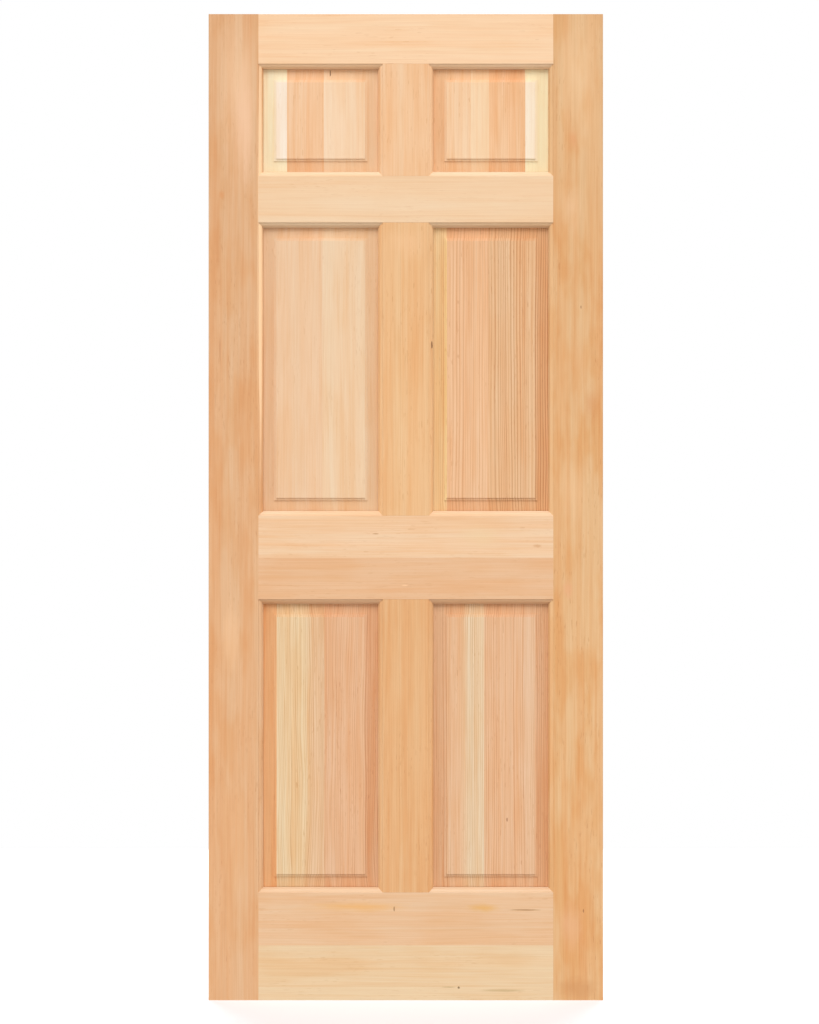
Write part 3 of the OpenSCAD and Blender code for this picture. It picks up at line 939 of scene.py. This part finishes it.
def fir(node, look, seed, marks=()):
    """Douglas fir, planed and drum-sanded: a matt surface with a faint silky sheen."""
    material = bpy.data.materials.new(f"douglas_fir_{node}")
    material.use_nodes = True
    tree = material.node_tree
    tree.nodes.clear()
    put = partial(add, tree)
    low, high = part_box(node)
    centre = (low + high) / 2
    is_level = node in RAILS
    is_raised = "_stave_" in node
    coordinates = put("ShaderNodeTexCoord")
    # The grain of a rail lies along X, so its wood is turned by a quarter round Y.
    turn = (0, math.radians(-90), 0) if is_level else (0, 0, 0)
    shift = (centre.z, -centre.y, -centre.x) if is_level else -centre
    wood_place = put(
        "ShaderNodeMapping", {},
        {"Vector": coordinates.outputs["Object"], "Scale": TO_MM,
         "Rotation": turn, "Location": Vector(shift) / MM},
    )
    grain = put(
        "ShaderNodeGroup", {"node_tree": fir_grain},
        {
            "Place": wood_place, "Wood": linear(look["wood_and_light"]),
            "Sapwood": linear(look.get("sapwood", look["wood_and_light"])),
            "Sapwood from": look.get("sap_from", FAR_OFF),
            "Pith": (look.get("pith_side", -1) * PITH_AWAY, PITH_BEHIND, 0),
            "Ring width": look["ring"], "Lines": look["lines"], "Seed": seed,
            "Wander": look.get("wander", 2.5), "Streaks": look.get("streaks", 1.0),
            "Blotches": look.get("blotches", 0.4),
        },
    )
    place = coordinates.outputs["Object"]
    door_place = put("ShaderNodeMapping", {}, {"Vector": place, "Scale": TO_MM})
    colour = grain.outputs["Colour"]
    for x, z, half_x, half_z, softness, stain_and_highlight, strength in marks:
        mark = put(
            "ShaderNodeGroup", {"node_tree": local_mark},
            {
                "Colour": colour, "Place": door_place, "Centre": (x, low.y / MM, z),
                "Half size": (half_x, MARK_DEPTH, half_z), "Softness": softness,
                "Stain": linear(stain_and_highlight), "Strength": strength,
            },
        )
        colour = mark.outputs["Colour"]
    # Painted shade: below the field, the bevel and the steps turn darker and more
    # orange, as light in the recess would make them.
    if is_raised:
        apart = put("ShaderNodeSeparateXYZ", {}, {0: place})
        depth = put("ShaderNodeMath", {"operation": "ABSOLUTE"}, {0: apart.outputs["Y"]})
        recess_shade = put(
            "ShaderNodeMapRange", {},
            {
                "Value": depth, "From Min": BEVEL_TOP, "From Max": high.y,
                "To Min": 1.0, "To Max": 0.0,
            },
        )
        colour = put(
            "ShaderNodeMix", {"data_type": "RGBA", "blend_type": "MULTIPLY"},
            {"Factor": recess_shade, "A": colour, "B": (*look.get("recess_shade", RECESS_SHADE_TINT), 1.0)},
        )
    bump = put(
        "ShaderNodeBump", {}, {"Height": grain.outputs["Height"], "Distance": MM, "Strength": 1.0}
    )
    shader = put(
        "ShaderNodeBsdfPrincipled", {},
        {"Base Color": colour, "Roughness": 0.62, "IOR": 1.45, "Normal": bump},
    )
    put("ShaderNodeOutputMaterial", {}, {"Surface": shader})
    return material


# %% [markdown]
# ## Marks on single boards
#
# Pale patches, small knots, pitch and mineral streaks belong to one place on one
# board, so a repeating pattern can't make them. The two long pale strips down the
# stiles' mouldings are painted highlights. Each is an ellipse with a ragged,
# soft edge. It lies on the front of the door only, as deep as a few rings.

# %% Where the marks lie
# Each is x, z, half width, half height, softness, colour and strength. Places and
# sizes are in mm, from the middle of the door's width and from the floor.
MARKS = {
    "stile_left": [
        # The first strip, on the moulding beside the panels, is a painted highlight.
        (-299, 1500, 7, 600, 0.4, "#f5d3aa", 0.85),
        (-345, 1870, 60, 260, 1.2, "#ecc8a4", 0.55), (-332, 1800, 26, 150, 0.9, "#eac4a6", 0.5),
        (-379, 1659, 7, 12, 0.7, "#cf8f58", 0.55), (-399, 1340, 7, 700, 0.7, "#cf9461", 0.4),
        (-383, 1340, 2.5, 40, 0.7, "#b97f52", 0.5), (-360, 745, 22, 88, 0.6, "#e4bb92", 0.4),
        (-350, 330, 40, 240, 1.0, "#dfb890", 0.3),
    ],
    "stile_right": [
        # The first strip, on the moulding beside the panels, is a painted highlight.
        (299, 1020, 7, 1100, 0.4, "#e9c090", 0.35),
        (355, 1900, 60, 240, 1.2, "#f0d0a8", 0.4), (345, 1773, 12, 31, 0.9, "#d6925f", 0.45),
        (341, 1630, 34, 84, 1.2, "#e8c6a0", 0.4), (330, 1500, 20, 36, 0.9, "#cf965f", 0.45),
        (356, 1309, 45, 80, 1.1, "#d39a63", 0.4), (384, 1226, 22, 50, 0.9, "#c98a55", 0.45),
        (345, 1041, 40, 113, 1.2, "#e3bb90", 0.4), (334, 845, 14, 25, 0.8, "#dba27c", 0.45),
        (340, 150, 34, 65, 0.9, "#dfb492", 0.4), (356, 22, 55, 32, 0.8, "#c08a58", 0.5),
        (366, 184, 1.6, 4.5, 0.4, "#8a5a38", 0.7), (361, 1428, 1.4, 4, 0.4, "#8f5d3a", 0.7),
    ],
    "mullion_middle": [
        (0, 1560, 50, 45, 0.9, "#e6bd92", 0.45), (54, 1350, 2.6, 10, 0.4, "#6e4a2c", 0.85),
    ],
    "lock_rail_upper_board": [
        (-62, 961, 8, 1.3, 0.5, "#a8764a", 0.75), (153, 955, 60, 30, 1.0, "#dcc498", 0.35),
        (271, 936, 12, 5, 0.8, "#c08b5c", 0.5),
    ],
    "lock_rail_lower_board": [(-2, 855, 8, 1.6, 0.5, "#efcba2", 0.6)],
    "bottom_rail_upper_board": [
        (-95, 192, 130, 15, 1.0, "#dca761", 0.7), (160, 190, 45, 12, 1.0, "#d6a455", 0.7),
        (246, 186, 40, 2.2, 0.6, "#9f7444", 0.7), (-24, 188, 1.8, 6, 0.4, "#8d6238", 0.75),
    ],
    "bottom_rail_lower_board": [
        (109, 26, 2.8, 2.8, 0.4, "#6f573a", 0.9), (88, 27, 18, 1.5, 0.6, "#a98f64", 0.6),
        (200, 20, 58, 3.8, 0.7, "#b39a6e", 0.6),
    ],
    "panel_top_left_stave_3": [(-156, 1912, 1.4, 9, 0.3, "#5e381f", 0.9)],
    "panel_low_right_stave_2": [(209, 371, 1.8, 5, 0.4, "#8d5a38", 0.7)],
    "panel_tall_right_stave_2": [
        (108, 1439, 4, 6, 0.8, "#c08a60", 0.4), (108, 1327, 4, 6, 0.8, "#c08a60", 0.4),
    ],
}
print("marks:", sum(len(marks) for marks in MARKS.values()))

# %% Give each piece its wood
SEED_STEP = 3.7  # keeps the patterns of two pieces apart
for number, (node, look) in enumerate(LOOKS.items()):
    material = fir(node, look, SEED_STEP * number, MARKS.get(node, ()))
    piece_mesh = pieces[node].data
    piece_mesh.materials.clear()
    piece_mesh.materials.append(material)
print("materials:", len(bpy.data.materials))

# %% [markdown]
# ## Beech dowels
#
# Dowels are beech: a hard, even, pinkish wood with short brown flecks. They are
# turned to size and pressed through a fluting die, so the surface is burnished and
# a little shinier than planed fir. Nobody sees them in the finished door, but they
# show when the part is taken apart, so they get their own plain material.

# %% Beech, turned and fluted
beech = bpy.data.materials.new("beech_turned_and_fluted")
beech.use_nodes = True
beech.node_tree.nodes.clear()
put = partial(add, beech.node_tree)
coordinates = put("ShaderNodeTexCoord")
place = put(
    "ShaderNodeMapping", {}, {"Vector": coordinates.outputs["Object"], "Scale": TO_MM}
)
BEECH_LAYERS = [  # size in mm, from and to, tint
    ((12, 12, 12), 0.35, 0.65, "#f6ebe0"),
    ((0.8, 0.8, 0.8), 0.60, 0.68, "#d9c0a8"),
]
colour = linear("#d9b48a")
for size_mm, start, full, tint in BEECH_LAYERS:
    scale = tuple(1 / side for side in size_mm)
    scaled = put("ShaderNodeVectorMath", {"operation": "MULTIPLY"}, {0: place, 1: scale})
    noise = put("ShaderNodeTexNoise", {}, {"Vector": scaled, "Scale": 1.0, "Detail": 1.0})
    amount = put("ShaderNodeMapRange", {}, {"Value": noise, "From Min": start, "From Max": full})
    colour = put(
        "ShaderNodeMix", {"data_type": "RGBA", "blend_type": "MULTIPLY"},
        {"Factor": amount, "A": colour, "B": linear(tint)},
    )
shader = put("ShaderNodeBsdfPrincipled", {}, {"Base Color": colour, "Roughness": 0.5, "IOR": 1.5})
put("ShaderNodeOutputMaterial", {}, {"Surface": shader})
for group in DOWEL_GROUPS:
    pieces[group].data.materials.clear()
    pieces[group].data.materials.append(beech)
bpy.data.materials.remove(plain_wood)
print("dowel groups in beech:", len(DOWEL_GROUPS))

# %% [markdown]
# ## Check the size, and count triangles
#
# Nothing here may move or resize the exact part. Its box is compared with the box
# measured when the frame was loaded.

visual_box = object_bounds()
growth = [
    abs(cad - drawn) / MM
    for before, after in zip(cad_box, visual_box)
    for cad, drawn in zip(before, after)
]
print("largest change of the box in mm:", round(max(growth), 4))
triangles = {
    name: sum(len(face.vertices) - 2 for face in piece.data.polygons)
    for name, piece in pieces.items()
}
heaviest = max(triangles, key=triangles.get)
print("heaviest piece:", heaviest, "with", triangles[heaviest], "triangles")
